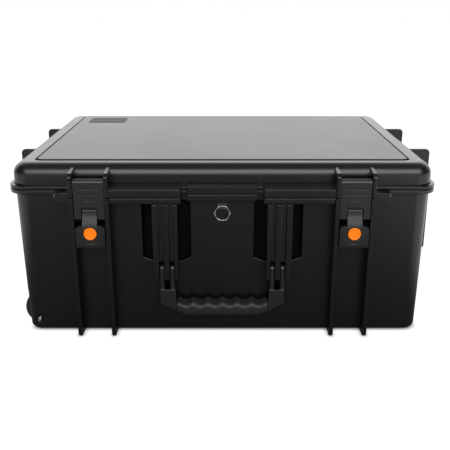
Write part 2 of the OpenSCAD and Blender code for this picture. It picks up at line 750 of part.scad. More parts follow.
module trolley_outer_tubes() color(steel) tube_box(tube_x0, tube_x0 + tube_len, outer_tube, tube_wall);
module trolley_inner_tubes() color(steel) tube_box(tube_x0 + 4, bar_x0, inner_tube, tube_wall);

module trolley_grip() color(black) difference() {
    prism_y(-bar_half, bar_half, [[bar_x0, 6], [bar_x1 - 3, 6], [bar_x1, 9], [bar_x1, 21], [bar_x1 - 3, 24],
        [bar_x0, 24]]);
    rod_x(bar_x1 - 5, bar_x1 + 1, 0, tube_z, 5.5);
}

module trolley_button() color(orange) rod_x(bar_x1 - 2.7, bar_x1 + 0.8, 0, tube_z, 5.2);
module trolley_button_spring() color(steel) difference() {
    rod_x(bar_x1 - 5, bar_x1 - 2.7, 0, tube_z, 3);
    rod_x(bar_x1 - 6, bar_x1, 0, tube_z, 2.2);
}

module trolley_brackets() color(black) difference() {
    for (x = [tube_x0 - 5, tube_x0 + tube_len - 6])
        box([x, -tunnel_half + 0.5, cover_top_z], [x + 10, tunnel_half - 0.5, tunnel_z]);
    for (sy = [-1, 1]) box([tube_x0, sy * tube_y - outer_tube[0] / 2, tube_z - outer_tube[1] / 2],
        [tube_x0 + tube_len + 9, sy * tube_y + outer_tube[0] / 2, tube_z + outer_tube[1] / 2]);
    cover_screw_places() cylinder(r = 1.5, h = 40, $fn = 24);
}

module cover_screw_places() for (x = [tube_x0 - 1.5, tube_x0 + tube_len - 1], y = [-35, 35])
    translate([x, y, 0]) children();

module trolley_cover() color(black) difference() {
    box([-tunnel_x + 0.5, -tunnel_half + 0.5, 1], [tube_x0 + tube_len + 4, tunnel_half - 0.5, cover_top_z]);
    cover_screw_places() cylinder(r = 1.5, h = 40, $fn = 24);
    cover_screw_places() cylinder(r = 3.2, h = 2.6, $fn = 32);
}

module trolley_cover_screws() color(steel) cover_screw_places() {
    translate([0, 0, 1.2]) cylinder(r = 3.2, h = 1.4, $fn = 32);
    translate([0, 0, 2]) cylinder(r = 1.5, h = 14, $fn = 24);
}

base_shell();
base_rim();
base_ribs();
front_pillars();
end_pillars();
lid_shell();
lid_rim();
lid_panel();
panel_gasket();
lid_seal();
lid_foam();
floor_foam();
front_foam_rail();
rear_foam_rail();
laptop_dividers();
hinge_pins();
valve_body();
valve_cap();
valve_washer();
valve_nut();
base_padlock_eyes();
left_latch_strap();
right_latch_strap();
left_strap_pin();
right_strap_pin();
left_latch_lever();
right_latch_lever();
left_lever_pin();
right_lever_pin();
left_latch_button();
right_latch_button();
left_button_spring();
right_button_spring();
front_handle_frame();
front_handle_grip();
front_handle_pins();
end_handle_frame();
end_handle_grip();
end_handle_pins();
front_wheel_carrier();
rear_wheel_carrier();
front_wheel_axle();
rear_wheel_axle();
front_wheel_hub();
rear_wheel_hub();
front_wheel_tyre();
rear_wheel_tyre();
wheel_carrier_screws();
trolley_outer_tubes();
trolley_inner_tubes();
trolley_grip();
trolley_button();
trolley_button_spring();
trolley_brackets();
trolley_cover();
trolley_cover_screws();
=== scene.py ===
"""Wheeled laptop hard case: finishes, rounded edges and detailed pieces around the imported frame."""

import math

import bmesh
import bpy
from bpy.props import FloatProperty, FloatVectorProperty, IntProperty, PointerProperty
from mathutils import Matrix, Vector


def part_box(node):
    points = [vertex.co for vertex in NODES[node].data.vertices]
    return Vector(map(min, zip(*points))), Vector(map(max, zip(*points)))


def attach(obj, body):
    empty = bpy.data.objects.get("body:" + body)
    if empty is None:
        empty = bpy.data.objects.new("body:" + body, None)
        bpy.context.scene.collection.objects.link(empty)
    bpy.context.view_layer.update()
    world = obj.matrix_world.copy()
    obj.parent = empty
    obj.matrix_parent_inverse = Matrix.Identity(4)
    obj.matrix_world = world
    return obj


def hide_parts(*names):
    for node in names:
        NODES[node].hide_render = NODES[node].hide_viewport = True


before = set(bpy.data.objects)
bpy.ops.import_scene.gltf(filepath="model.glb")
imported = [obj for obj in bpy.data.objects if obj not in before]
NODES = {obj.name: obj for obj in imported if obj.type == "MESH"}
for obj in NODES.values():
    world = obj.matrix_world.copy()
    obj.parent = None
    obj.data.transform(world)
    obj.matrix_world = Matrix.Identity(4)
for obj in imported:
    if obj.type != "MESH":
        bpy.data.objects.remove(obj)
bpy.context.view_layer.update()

bl_info = {
    "name": "Laptop hard case",
    "version": (1, 0, 0),
    "blender": (4, 5, 0),
    "location": "3D View > Sidebar > Hard Case",
    "description": "Dresses a wheeled laptop hard case with moulded, rubber, foam and metal finishes",
    "category": "Object",
}

MM = 0.001
SOCKET_LOBES = 6


def rgb(name, description, value):
    return FloatVectorProperty(name=name, description=description, default=value, subtype="COLOR", size=3,
                               min=0, max=1)


class CaseColours(bpy.types.PropertyGroup):
    """Colours of the case's materials."""

    shell: rgb("Shell", "Moulded lid and base", (0.0024, 0.0024, 0.0025))
    # The panel's colour also paints a highlight on the lid shell's flat top faces
    panel: rgb("Panel", "Satin panel in the lid", (0.02, 0.02, 0.0205))
    latch: rgb("Latch", "Latch straps and levers", (0.0095, 0.0095, 0.0097))
    button: rgb("Button", "Release buttons", (1.0, 0.225, 0.004))
    rubber: rgb("Rubber", "Grips and seal", (0.014, 0.014, 0.0145))
    tyre: rgb("Tyre", "Wheel tyres", (0.02, 0.02, 0.021))
    foam: rgb("Foam", "Foam pads and dividers", (0.035, 0.036, 0.04))
    steel: rgb("Steel", "Pins and screws", (0.56, 0.57, 0.58))
    dark_steel: rgb("Dark steel", "Blackened latch and handle pins", (0.05, 0.05, 0.052))
    bright: rgb("Bright metal", "Valve body", (0.6, 0.6, 0.61))
    tube: rgb("Tube", "Anodised tubes", (0.5, 0.51, 0.53))


class CaseSizes(bpy.types.PropertyGroup):
    """Sizes of the pieces that are modelled here."""

    edge: FloatProperty(name="Edge", description="Radius of the moulded edges", default=0.0011, unit="LENGTH")
    fine_edge: FloatProperty(name="Fine edge", description="Radius of the small parts' edges", default=0.0005,
                             unit="LENGTH")
    scallop: FloatProperty(name="Scallop pitch", description="Distance between the grip's finger waves",
                           default=0.022, unit="LENGTH")
    scallop_depth: FloatProperty(name="Scallop depth", description="Half height of a finger wave",
                                 default=0.002, unit="LENGTH")
    egg_pitch: FloatProperty(name="Foam peak pitch", description="Distance between peaks of the lid foam",
                             default=0.036, unit="LENGTH")
    egg_depth: FloatProperty(name="Foam peak height", description="Height of the lid foam's peaks",
                             default=0.01, unit="LENGTH")
    foam_edge: FloatProperty(name="Foam edge", description="Rounding of the cut foam's edges", default=0.003,
                             unit="LENGTH")
    treads: IntProperty(name="Treads", description="Blocks round each tyre", default=40, min=12, max=60)
    label_w: FloatProperty(name="Label width", description="Width of the bare label plate on the lid",
                           default=0.07, unit="LENGTH")
    label_d: FloatProperty(name="Label depth", description="Depth of the bare label plate on the lid",
                           default=0.052, unit="LENGTH")
    coil_turns: IntProperty(name="Spring turns", description="Turns of a latch button's spring", default=3,
                            min=2, max=6)


class StageSettings(bpy.types.PropertyGroup):
    """Camera, lights, world and floor."""

    lens: FloatProperty(name="Lens", description="Focal length at a 36 mm sensor", default=55.2)
    pitch: FloatProperty(name="Pitch", description="How far the camera looks down",
                         default=math.radians(18.25), subtype="ANGLE")
    place: FloatVectorProperty(name="Camera place", description="Where the camera stands",
                               default=(0.004, -1.2004, 0.4966), subtype="XYZ", unit="LENGTH")
    softbox: FloatProperty(name="Softbox", description="Power of the front softbox", default=132)
    floor_light: FloatProperty(name="Floor light", description="Power of the spot on the floor at the right",
                               default=120)
    wall: FloatProperty(name="Wall", description="Light of the bright wall behind the case", default=1.8)
    ceiling: FloatProperty(name="Ceiling", description="Extra light from above", default=0.2)
    room: FloatProperty(name="Room", description="Light from every side", default=0.1)
    floor_tone: FloatProperty(name="Floor tone", description="Grey of the floor", default=0.18)
    floor_glow: FloatProperty(name="Floor glow", description="How bright the camera sees the floor",
                              default=2.8)
    glow_share: FloatProperty(name="Glow share", description="Share of the glow in what the camera sees",
                              default=0.35)
    right_glow: FloatProperty(name="Right glow", description="Floor light mirrored by the right edges",
                              default=1.1)
    left_glow: FloatProperty(name="Left glow", description="Floor light mirrored by the left edges",
                             default=0.9)


# Materials

def socket(group, name, kind, way, value=None):
    s = group.interface.new_socket(name=name, in_out=way, socket_type=kind)
    if value is not None:
        s.default_value = value
    return s


def start_group(name, inputs, outputs):
    group = bpy.data.node_groups.new(name, "ShaderNodeTree")
    for label, kind, value in inputs:
        socket(group, label, kind, "INPUT", value)
    for label, kind in outputs:
        socket(group, label, kind, "OUTPUT")
    return group, group.nodes.new("NodeGroupInput"), group.nodes.new("NodeGroupOutput")


def maths(tree, operation, a, b=None, clamp=False):
    node = tree.nodes.new("ShaderNodeMath")
    node.operation = operation
    node.use_clamp = clamp
    for i, v in enumerate((a, b)):
        if v is None:
            continue
        if isinstance(v, (int, float)):
            node.inputs[i].default_value = v
        else:
            tree.links.new(v, node.inputs[i])
    return node.outputs[0]


def noise(tree, vector, scale, detail=2.0, rough=0.5):
    node = tree.nodes.new("ShaderNodeTexNoise")
    node.inputs["Detail"].default_value = detail
    node.inputs["Roughness"].default_value = rough
    tree.links.new(vector, node.inputs["Vector"])
    if isinstance(scale, (int, float)):
        node.inputs["Scale"].default_value = scale
    else:
        tree.links.new(scale, node.inputs["Scale"])
    return node.outputs[0]


def moulded_grain():
    """Spark-eroded mould texture: fine pits, and a slow change of gloss."""
    group, gi, go = start_group("Moulded grain", [
        ("Vector", "NodeSocketVector", None), ("Pits", "NodeSocketFloat", 900.0),
        ("Gloss", "NodeSocketFloat", 0.42), ("Gloss change", "NodeSocketFloat", 0.08)],
        [("Height", "NodeSocketFloat"), ("Roughness", "NodeSocketFloat"), ("Shade", "NodeSocketFloat")])
    vec = gi.outputs["Vector"]
    fine = noise(group, vec, gi.outputs["Pits"], 3.0, 0.6)
    cells = group.nodes.new("ShaderNodeTexVoronoi")
    group.links.new(vec, cells.inputs["Vector"])
    group.links.new(maths(group, "MULTIPLY", gi.outputs["Pits"], 0.7), cells.inputs["Scale"])
    height = maths(group, "ADD", fine, maths(group, "MULTIPLY", cells.outputs["Distance"], 0.4))
    group.links.new(height, go.inputs["Height"])
    slow = noise(group, vec, 7.0, 4.0, 0.55)
    swing = maths(group, "MULTIPLY", maths(group, "SUBTRACT", slow, 0.5), gi.outputs["Gloss change"])
    group.links.new(maths(group, "ADD", gi.outputs["Gloss"], swing, True), go.inputs["Roughness"])
    group.links.new(maths(group, "ADD", 0.85, maths(group, "MULTIPLY", slow, 0.3)), go.inputs["Shade"])
    return group


def handling_marks():
    """Faint smears and hairline scuffs, as a mask."""
    group, gi, go = start_group("Handling marks", [
        ("Vector", "NodeSocketVector", None), ("Amount", "NodeSocketFloat", 0.5)],
        [("Mask", "NodeSocketFloat")])
    stretch = group.nodes.new("ShaderNodeMapping")
    stretch.inputs["Rotation"].default_value = (0.3, 0.2, 0.6)
    stretch.inputs["Scale"].default_value = (1.0, 9.0, 9.0)
    group.links.new(gi.outputs["Vector"], stretch.inputs["Vector"])
    lines = noise(group, stretch.outputs[0], 40.0, 5.0, 0.7)
    patches = noise(group, gi.outputs["Vector"], 6.0, 3.0, 0.5)
    sharp = maths(group, "SUBTRACT", lines, 0.6, True)
    where = maths(group, "SUBTRACT", patches, 0.45, True)
    mask = maths(group, "MULTIPLY", maths(group, "MULTIPLY", sharp, where), 14.0, True)
    group.links.new(maths(group, "MULTIPLY", mask, gi.outputs["Amount"]), go.inputs["Mask"])
    return group


def brushed_lines():
    """Fine lines left along one direction by drawing or brushing."""
    group, gi, go = start_group("Brushed lines", [
        ("Vector", "NodeSocketVector", None), ("Stretch", "NodeSocketVector", (1.0, 60.0, 60.0)),
        ("Gloss", "NodeSocketFloat", 0.28)],
        [("Height", "NodeSocketFloat"), ("Roughness", "NodeSocketFloat"), ("Shade", "NodeSocketFloat")])
    stretch = group.nodes.new("ShaderNodeMapping")
    group.links.new(gi.outputs["Vector"], stretch.inputs["Vector"])
    group.links.new(gi.outputs["Stretch"], stretch.inputs["Scale"])
    lines = noise(group, stretch.outputs[0], 30.0, 4.0, 0.6)
    group.links.new(lines, go.inputs["Height"])
    swing = maths(group, "MULTIPLY", maths(group, "SUBTRACT", lines, 0.5), 0.25)
    group.links.new(maths(group, "ADD", gi.outputs["Gloss"], swing, True), go.inputs["Roughness"])
    group.links.new(maths(group, "ADD", 0.8, maths(group, "MULTIPLY", lines, 0.4)), go.inputs["Shade"])
    return group


def foam_cells():
    """Open cells of cut foam."""
    group, gi, go = start_group("Foam cells", [
        ("Vector", "NodeSocketVector", None), ("Cells", "NodeSocketFloat", 520.0)],
        [("Height", "NodeSocketFloat"), ("Shade", "NodeSocketFloat")])
    cells = group.nodes.new("ShaderNodeTexVoronoi")
    cells.feature = "F1"
    group.links.new(gi.outputs["Vector"], cells.inputs["Vector"])
    group.links.new(gi.outputs["Cells"], cells.inputs["Scale"])
    soft = noise(group, gi.outputs["Vector"], 30.0, 3.0, 0.6)
    group.links.new(maths(group, "ADD", cells.outputs["Distance"], maths(group, "MULTIPLY", soft, 0.3)),
                    go.inputs["Height"])
    # Darker at the cells' low middles: painted shade in the pores; the soft patches are the foam's own uneven
    # tone
    shade = maths(group, "ADD", 0.55, maths(group, "MULTIPLY", cells.outputs["Distance"], 0.9))
    patches = maths(group, "ADD", 0.75, maths(group, "MULTIPLY", soft, 0.5))
    group.links.new(maths(group, "MULTIPLY", shade, patches), go.inputs["Shade"])
    return group


GROUPS = {}


def group_node(tree, name, vector, **values):
    makers = {"Moulded grain": moulded_grain, "Handling marks": handling_marks,
              "Brushed lines": brushed_lines, "Foam cells": foam_cells}
    if name not in GROUPS:
        GROUPS[name] = makers[name]()
    node = tree.nodes.new("ShaderNodeGroup")
    node.node_tree = GROUPS[name]
    tree.links.new(vector, node.inputs["Vector"])
    for key, value in values.items():
        node.inputs[key.replace("_", " ").capitalize()].default_value = value
    return node


def new_material(name):
    mat = bpy.data.materials.new(name)
    mat.use_nodes = True
    tree = mat.node_tree
    shader = tree.nodes["Principled BSDF"]
    coords = tree.nodes.new("ShaderNodeTexCoord").outputs["Object"]
    return mat, tree, shader, coords


def tinted(tree, shader, colour, shade):
    """Colour times a shade that changes over the surface."""
    mix = tree.nodes.new("ShaderNodeMix")
    mix.data_type = "RGBA"
    mix.blend_type = "MULTIPLY"
    mix.inputs["Factor"].default_value = 1.0
    mix.inputs[6].default_value = (*colour, 1)
    tree.links.new(shade, mix.inputs[7])
    tree.links.new(mix.outputs[2], shader.inputs["Base Color"])
    return mix


def bump(tree, shader, height, strength, distance):
    node = tree.nodes.new("ShaderNodeBump")
    node.inputs["Strength"].default_value = strength
    node.inputs["Distance"].default_value = distance
    tree.links.new(height, node.inputs["Height"])
    tree.links.new(node.outputs[0], shader.inputs["Normal"])


def moulded(name, colour, gloss, pits=900.0, depth=0.00006, strength=0.35, marks=0.35, specular=0.5):
    mat, tree, shader, coords = new_material(name)
    grain = group_node(tree, "Moulded grain", coords, pits=pits, gloss=gloss, gloss_change=0.08)
    wear = group_node(tree, "Handling marks", coords, amount=marks)
    shade = maths(tree, "ADD", grain.outputs["Shade"], maths(tree, "MULTIPLY", wear.outputs["Mask"], 0.6))
    tinted(tree, shader, colour, shade)
    rough = maths(tree, "SUBTRACT", grain.outputs["Roughness"],
                  maths(tree, "MULTIPLY", wear.outputs["Mask"], 0.12), True)
    tree.links.new(rough, shader.inputs["Roughness"])
    shader.inputs["Specular IOR Level"].default_value = specular
    bump(tree, shader, grain.outputs["Height"], strength, depth)
    return mat


def metal(name, colour, gloss, stretch):
    mat, tree, shader, coords = new_material(name)
    lines = group_node(tree, "Brushed lines", coords, gloss=gloss)
    lines.inputs["Stretch"].default_value = stretch
    tinted(tree, shader, colour, lines.outputs["Shade"])
    tree.links.new(lines.outputs["Roughness"], shader.inputs["Roughness"])
    shader.inputs["Metallic"].default_value = 1.0
    bump(tree, shader, lines.outputs["Height"], 0.12, 0.00004)
    return mat


def foam_material(name, colour):
    mat, tree, shader, coords = new_material(name)
    cells = group_node(tree, "Foam cells", coords)
    tinted(tree, shader, colour, cells.outputs["Shade"])
    shader.inputs["Roughness"].default_value = 0.95
    shader.inputs["Specular IOR Level"].default_value = 0.2
    shader.inputs["Sheen Weight"].default_value = 0.15
    bump(tree, shader, cells.outputs["Height"], 0.8, 0.0005)
    return mat


MATERIALS = {}


def make_materials():
    c = bpy.context.scene.case_colours
    MATERIALS.update(
        shell=moulded("Textured shell plastic", c.shell, 0.3),
        # The lid shell's flat top faces in the panel's paler colour: a painted highlight
        lid_top=moulded("Lid top painted highlight plastic", c.panel, 0.3),
        # Near-black plastic with little gloss for the pockets beside the front pillars: painted shade in the
        # recesses
        pocket=moulded("Matt pocket plastic", (0.001, 0.001, 0.001), 0.5, 900.0, 0.00006, 0.35, 0.0, 0.1),
        panel=moulded("Satin lid panel", c.panel, 0.36, 2200.0, 0.00002, 0.2, 0.15),
        latch=moulded("Latch plastic", c.latch, 0.36, 1200.0, 0.00004, 0.3),
        button=moulded("Orange button plastic", c.button, 0.4, 1600.0, 0.00003, 0.25, 0.2, 0.3),
        rubber=moulded("Soft grip rubber", c.rubber, 0.48, 700.0, 0.0001, 0.5, 0.3, 0.35),
        gasket=moulded("Matt gasket", (0.003, 0.003, 0.003), 0.9, 500.0, 0.0001, 0.5, 0.0, 0.1),
        tyre=moulded("Tyre rubber", c.tyre, 0.7, 500.0, 0.00012, 0.5, 0.6, 0.3),
        badge=moulded("Bare label plate", (0.03, 0.03, 0.031), 0.55, 2500.0, 0.00001, 0.1, 0.1, 0.25),
        foam=foam_material("Cut foam", c.foam),
        steel=metal("Turned steel", c.steel, 0.26, (1.0, 60.0, 60.0)),
        dark_steel=metal("Blackened steel", c.dark_steel, 0.4, (1.0, 60.0, 60.0)),
        bright=metal("Polished valve metal", c.bright, 0.3, (60.0, 2.0, 60.0)),
        tube=metal("Anodised tube", c.tube, 0.34, (1.0, 70.0, 70.0)),
    )


# Shapes

def finish_mesh(name, bm, material, body, replaces=(), edge=0.0):
    """Turns a bmesh into a piece that rides on a body."""
    mesh = bpy.data.meshes.new(name)
    bm.to_mesh(mesh)
    bm.free()
    obj = bpy.data.objects.new(name, mesh)
    bpy.context.scene.collection.objects.link(obj)
    mesh.materials.append(material)
    for poly in mesh.polygons:
        poly.use_smooth = True
    mesh.set_sharp_from_angle(angle=math.radians(38))
    if edge:
        add_bevel(obj, edge)
    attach(obj, body)
    if replaces:
        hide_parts(*replaces)
    return obj


def add_bevel(obj, width, segments=2, angle=35, clamp=False):
    bev = obj.modifiers.new("Rounded edges", "BEVEL")
    bev.width = width
    bev.segments = segments
    bev.limit_method = "ANGLE"
    bev.angle_limit = math.radians(angle)
    bev.use_clamp_overlap = clamp
    bev.miter_outer = "MITER_ARC"


def dress(node, material, edge, angle=35, clamp=False):
    """Keeps a CAD node's shape, and gives it a material and rounded edges."""
    obj = NODES[node]
    obj.data.materials.clear()
    obj.data.materials.append(material)
    for poly in obj.data.polygons:
        poly.use_smooth = True
    obj.data.update()
    weld = obj.modifiers.new("Join corners", "WELD")
    weld.merge_threshold = 0.00002
    flat = obj.modifiers.new("Flat faces", "DECIMATE")
    flat.decimate_type = "DISSOLVE"
    flat.angle_limit = math.radians(0.8)
    if edge:
        add_bevel(obj, edge, 2, angle, clamp)
    even_shading(obj)
    return obj


def part_finish(node, material, chosen):
    """Gives the faces that are chosen by middle and normal another material."""
    mesh = NODES[node].data
    mesh.materials.append(material)
    for poly in mesh.polygons:
        if chosen(poly.center, poly.normal):
            poly.material_index = 1


def even_shading(obj):
    normal = obj.modifiers.new("Even shading", "WEIGHTED_NORMAL")
    normal.mode = "FACE_AREA"
    normal.weight = 90
    normal.keep_sharp = True


def mapped_grid(columns, rows, place, closed=True):
    """A grid laid over a surface: place takes two numbers from 0 to 1 and gives a point in metres."""
    bm = bmesh.new()
    bmesh.ops.create_grid(bm, x_segments=columns, y_segments=rows, size=1)
    for v in bm.verts:
        v.co = place((v.co.x + 1) / 2, (v.co.y + 1) / 2)
    if closed:
        bmesh.ops.remove_doubles(bm, verts=bm.verts, dist=1e-6)
    bmesh.ops.recalc_face_normals(bm, faces=bm.faces)
    return bm


def spun(profile, centre, axis, steps=48, star=0.0):
    """Turned solid: profile holds (along, radius, lobe share) in mm about an axis through centre."""
    axis = Vector(axis).normalized()
    side = axis.orthogonal().normalized()
    other = axis.cross(side)
    centre = Vector(centre)

    def place(u, w):
        along, radius, share = profile[min(round(u * (len(profile) - 1)), len(profile) - 1)]
        a = 2 * math.pi * (w if w < 1 else 0)
        r = (radius + share * star * math.cos(SOCKET_LOBES * a)) * MM
        return centre + axis * (along * MM) + (side * math.cos(a) + other * math.sin(a)) * r

    return mapped_grid(len(profile) - 1, steps, place)


def only_verts(geometry):
    return [g for g in geometry if isinstance(g, bmesh.types.BMVert)]


def prism(outline, low, high, edge=0.0, segments=3):
    """Upright block over an outline in metres, with all its edges rounded."""
    bm = bmesh.new()
    face = bm.faces.new([bm.verts.new((x, y, low)) for x, y in outline])
    top = bmesh.ops.extrude_face_region(bm, geom=[face])["geom"]
    bmesh.ops.translate(bm, vec=(0, 0, high - low), verts=only_verts(top))
    bmesh.ops.recalc_face_normals(bm, faces=bm.faces)
    if edge:
        bmesh.ops.bevel(bm, geom=list(bm.edges), offset=edge, segments=segments, profile=0.5, affect="EDGES",
                        material=-1, clamp_overlap=True)
    return bm


def rectangle(x0, y0, x1, y1):
    return [(x0, y0), (x1, y0), (x1, y1), (x0, y1)]


# Space of the pockets beside the front handle's pillars, with the faces that bound it; those faces get a
# near-black, low-gloss plastic that paints shade into the recesses
POCKET_LOW = (-0.121, -0.2225, 0.115)
POCKET_HIGH = (0.121, -0.2065, 0.2125)
# Faces of the lid shell that face up within this band under its top get a paler plastic: a painted highlight
FLAT_UP = 0.99
TOP_BAND = 0.0005


def in_pocket(middle, normal):
    return all(a < m < b for a, m, b in zip(POCKET_LOW, middle, POCKET_HIGH))


class CASE_OT_shells(bpy.types.Operator):
    """Dress the moulded shells, rims, ribs, pillars and the small moulded parts"""

    bl_idname = "case.shells"
    bl_label = "Shells"

    def execute(self, context):
        sizes = context.scene.case_sizes
        shell = MATERIALS["shell"]
        for node in ("base_shell", "lid_shell", "base_rim", "lid_rim", "base_ribs", "front_pillars",
                     "end_pillars"):
            dress(node, shell, sizes.edge, clamp=node == "base_ribs")
        # Flat top faces of the lid shell get the paler plastic: a painted highlight
        top = frame_top("lid_shell") - TOP_BAND
        part_finish("lid_shell", MATERIALS["lid_top"],
                    lambda middle, normal: normal.z > FLAT_UP and middle.z > top)
        # The pocket faces get the dark plastic: painted shade
        part_finish("base_shell", MATERIALS["pocket"], in_pocket)
        for node in ("base_padlock_eyes", "front_wheel_carrier", "rear_wheel_carrier",
                     "trolley_brackets", "trolley_cover", "valve_nut"):
            dress(node, shell, sizes.fine_edge)
        dress("lid_panel", MATERIALS["panel"], sizes.fine_edge * 0.6)
        dress("panel_gasket", MATERIALS["gasket"], 0)
        for node in ("lid_seal", "valve_washer"):
            dress(node, MATERIALS["rubber"], sizes.fine_edge)
        return {"FINISHED"}


LABEL_MIDDLE = (-0.224, 0.148)
LABEL_SUNK, LABEL_PROUD, LABEL_CORNER = 0.0004, 0.0005, 0.004


class CASE_OT_label(bpy.types.Operator):
    """Make the bare label plate at the rear corner of the lid panel"""

    bl_idname = "case.label"
    bl_label = "Label plate"

    def execute(self, context):
        sizes = context.scene.case_sizes
        top = frame_top("lid_panel")
        x, y = LABEL_MIDDLE
        w, d = sizes.label_w / 2, sizes.label_d / 2
        bm = prism(rectangle(x - w, y - d, x + w, y + d), top - LABEL_SUNK, top + LABEL_PROUD)
        corners = [e for e in bm.edges if abs(e.verts[0].co.z - e.verts[1].co.z) > LABEL_PROUD]
        bmesh.ops.bevel(bm, geom=corners, offset=LABEL_CORNER, segments=5, profile=0.5, affect="EDGES",
                        material=-1)
        finish_mesh("lid_label", bm, MATERIALS["badge"], "lid", edge=0.00025)
        return {"FINISHED"}


class CASE_OT_latches(bpy.types.Operator):
    """Dress the latch straps, levers, pins and buttons, and wind their springs"""

    bl_idname = "case.latches"
    bl_label = "Latches"

    def execute(self, context):
        sizes = context.scene.case_sizes
        for side in ("left", "right"):
            for part in ("strap", "lever"):
                dress(f"{side}_latch_{part}", MATERIALS["latch"], sizes.fine_edge)
            for part in ("strap_pin", "lever_pin"):
                dress(f"{side}_{part}", MATERIALS["dark_steel"], sizes.fine_edge * 0.5)
            low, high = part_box(f"{side}_latch_button")
            centre = [(a + b) / 2 for a, b in zip(low, high)]
            radius = (high[0] - low[0]) / 2 / MM
            depth = (high[1] - low[1]) / MM
            profile = [(-depth, 0, 0), (-depth, radius, 0), (-depth, radius, 0), (-1.2, radius, 0),
                       (-0.5, radius - 0.15, 0), (-0.12, radius - 0.6, 0), (0, radius - 1.3, 0),
                       (-0.05, radius - 2.0, 0), (-0.5, radius - 2.6, 0), (-0.62, radius - 3.2, 0),
                       (-0.5, radius - 5, 0), (-0.42, radius - 8, 0), (-0.4, 0, 0)]
            bm = spun(profile, (centre[0], low[1], centre[2]), (0, -1, 0), 64)
            finish_mesh(f"{side}_button_face", bm, MATERIALS["button"], f"{side}_button",
                        [f"{side}_latch_button"])
            coil(f"{side}_button_coil", f"{side}_button_spring", f"{side}_lever", sizes.coil_turns)
        return {"FINISHED"}


def coil(name, node, body, turns):
    """A round wire wound in the room of a spring's ring, along Y."""
    low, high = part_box(node)
    wire = 0.00035
    radius = (high[0] - low[0]) / 2 - wire
    centre = Vector(((low[0] + high[0]) / 2, low[1] + wire, (low[2] + high[2]) / 2))
    bm = bmesh.new()
    turn = Matrix.Translation(centre + Vector((radius, 0, 0)))
    ring = bmesh.ops.create_circle(bm, segments=8, radius=wire, matrix=turn)["verts"]
    steps = 24 * turns
    rise = (high[1] - low[1] - 2 * wire) / steps
    edges = list({e for v in ring for e in v.link_edges})
    bmesh.ops.spin(bm, geom=ring + edges, cent=centre, axis=(0, 1, 0), dvec=(0, rise, 0),
                   angle=2 * math.pi * turns, steps=steps)
    bmesh.ops.holes_fill(bm, edges=[e for e in bm.edges if e.is_boundary], sides=0)
    bmesh.ops.recalc_face_normals(bm, faces=bm.faces)
    finish_mesh(name, bm, MATERIALS["steel"], body, [node])


class CASE_OT_handles(bpy.types.Operator):
    """Dress the handle frames and make the scalloped grips"""

    bl_idname = "case.handles"
    bl_label = "Handles"

    def execute(self, context):
        sizes = context.scene.case_sizes
        for end, to_side in (("front", Matrix.Identity(4)), ("end", Matrix.Rotation(math.pi / 2, 4, "Z"))):
            dress(f"{end}_handle_frame", MATERIALS["latch"], 0.0011)
            dress(f"{end}_handle_pins", MATERIALS["dark_steel"], 0)
            low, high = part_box(f"{end}_handle_grip")
            shape = grip_shape(sizes, low, high, end)
            finish_mesh(f"{end}_grip", shape, MATERIALS["rubber"], f"{end}_handle", [f"{end}_handle_grip"])
        return {"FINISHED"}


# Grip: how full its end rings are, where its underside starts to slant and how far, and its corner powers
GRIP_ENDS = {0: 0.0, 1: 0.86, 2: 0.95}
GRIP_FLAT, GRIP_RUN, GRIP_RISE = 0.053, 0.015, 0.005
GRIP_SQUARE, GRIP_ROUND = 0.42, 0.8


def grip_shape(sizes, low, high, end):
    """Rounded grip with finger waves on top, its length along X at the front and along Y at the end."""
    along, across = (0, 1) if end == "front" else (1, 0)
    half = (high[along] - low[along]) / 2
    mid = (high[across] + low[across]) / 2
    depth = (high[across] - low[across]) / 2
    outward = -1 if end == "front" else 1
    crown = high[2] - sizes.scallop_depth
    stations = 96

    def place(u, w):
        i = round(u * stations)
        fill = GRIP_ENDS.get(min(i, stations - i), 1.0)
        x = (min(max(i, 2), stations - 2) - 2) / (stations - 4) * 2 * half - half
        top = crown + sizes.scallop_depth * math.cos(2 * math.pi * x / sizes.scallop)
        slant = max(0.0, (abs(x) - GRIP_FLAT) / GRIP_RUN) * GRIP_RISE
        bottom = low[2] + slant
        a = 2 * math.pi * (w if w < 1 else 0)
        c, s_ = math.cos(a), math.sin(a)
        power = GRIP_ROUND if s_ > 0 and c * outward > 0 else GRIP_SQUARE
        dy = math.copysign(abs(c) ** power, c) * depth
        dz = math.copysign(abs(s_) ** power, s_)
        z = (top + bottom) / 2 + dz * (top - bottom) / 2 * fill
        point = [0.0, 0.0, z]
        point[along] = x
        point[across] = mid + dy * fill
        return Vector(point)

    return mapped_grid(stations, 40, place)


class CASE_OT_metalwork(bpy.types.Operator):
    """Dress the pins, axles and tubes, and make the screws"""

    bl_idname = "case.metalwork"
    bl_label = "Metalwork"

    def execute(self, context):
        sizes = context.scene.case_sizes
        for node in ("hinge_pins", "front_wheel_axle", "rear_wheel_axle"):
            dress(node, MATERIALS["steel"], sizes.fine_edge * 0.6)
        for node in ("trolley_outer_tubes", "trolley_inner_tubes"):
            dress(node, MATERIALS["tube"], sizes.fine_edge)
        low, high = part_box("wheel_carrier_screws")
        mid_x, mid_z = (low[0] + high[0]) / 2, (low[2] + high[2]) / 2
        screws = bmesh.new()
        for sign in (-1, 1):
            join(screws, spun(SCREW, (mid_x, sign * (high[1] - 0.0005), mid_z), (0, sign, 0), 48, 0.22))
        finish_mesh("wheel_screws", screws, MATERIALS["steel"], "base", ["wheel_carrier_screws"])
        low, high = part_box("trolley_cover_screws")
        screws = bmesh.new()
        for x in (low[0] + 0.0032, high[0] - 0.0032):
            for y in (low[1] + 0.0032, high[1] - 0.0032):
                join(screws, spun(SCREW, (x, y, low[2]), (0, 0, -1), 48, 0.22))
        finish_mesh("cover_screws", screws, MATERIALS["steel"], "base", ["trolley_cover_screws"])
        return {"FINISHED"}


